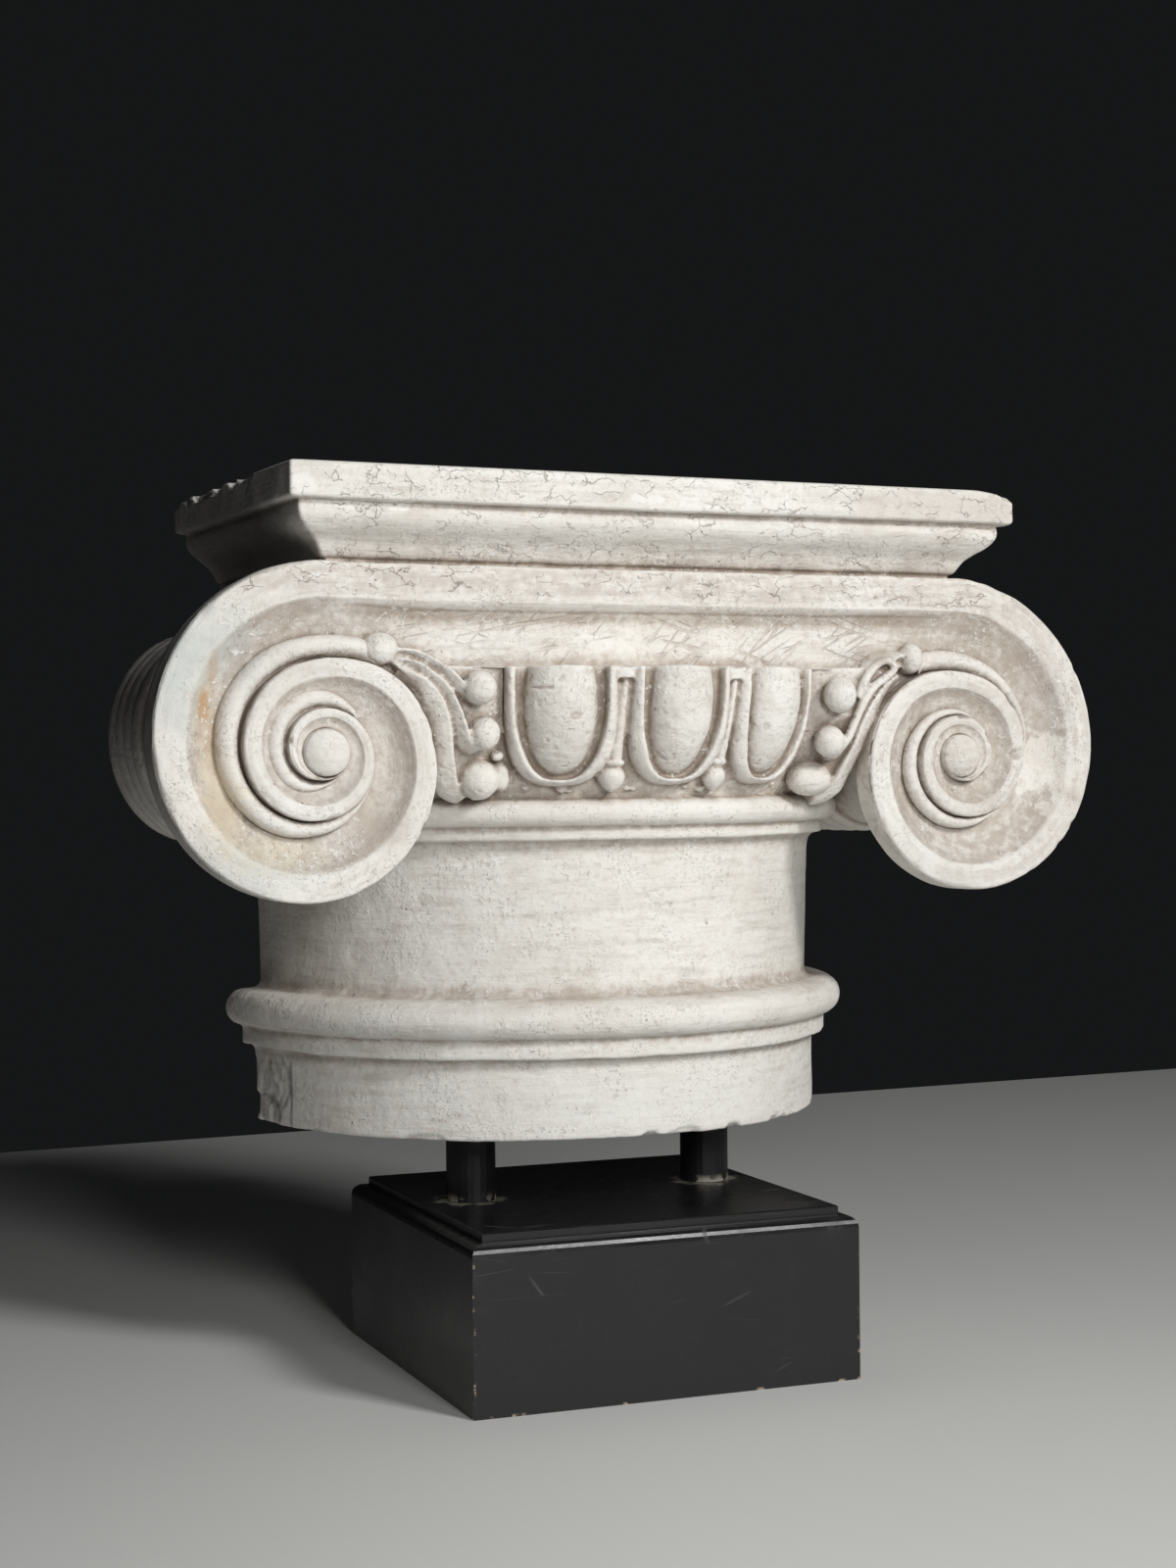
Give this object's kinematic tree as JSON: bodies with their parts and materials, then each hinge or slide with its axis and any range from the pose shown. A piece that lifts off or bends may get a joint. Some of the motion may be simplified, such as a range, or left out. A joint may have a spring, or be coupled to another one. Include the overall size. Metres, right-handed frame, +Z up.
{
  "type": "ionic capital",
  "caption": "Half Ionic capital with two volutes, egg-and-dart echinus and palmettes, flat at the back, on two posts over a moulded square base",
  "frame": {"origin": "centre of the wooden base's underside", "axes": "+X along the capital's long side, towards its right volute seen from the front; +Y towards the flat back, so the carved front faces -Y; +Z up"},
  "size_m": [0.5012, 0.2116, 0.439],
  "materials": {
    "plaster": "aged off-white plaster, matte",
    "black_wood": "black lacquer, half gloss, worn at the corners",
    "black_steel": "black satin"
  },
  "bodies": {
    "root": {"capital": "plaster", "plinth": "black_wood", "post_left": "black_steel", "post_right": "black_steel"}
  },
  "joints": []
}
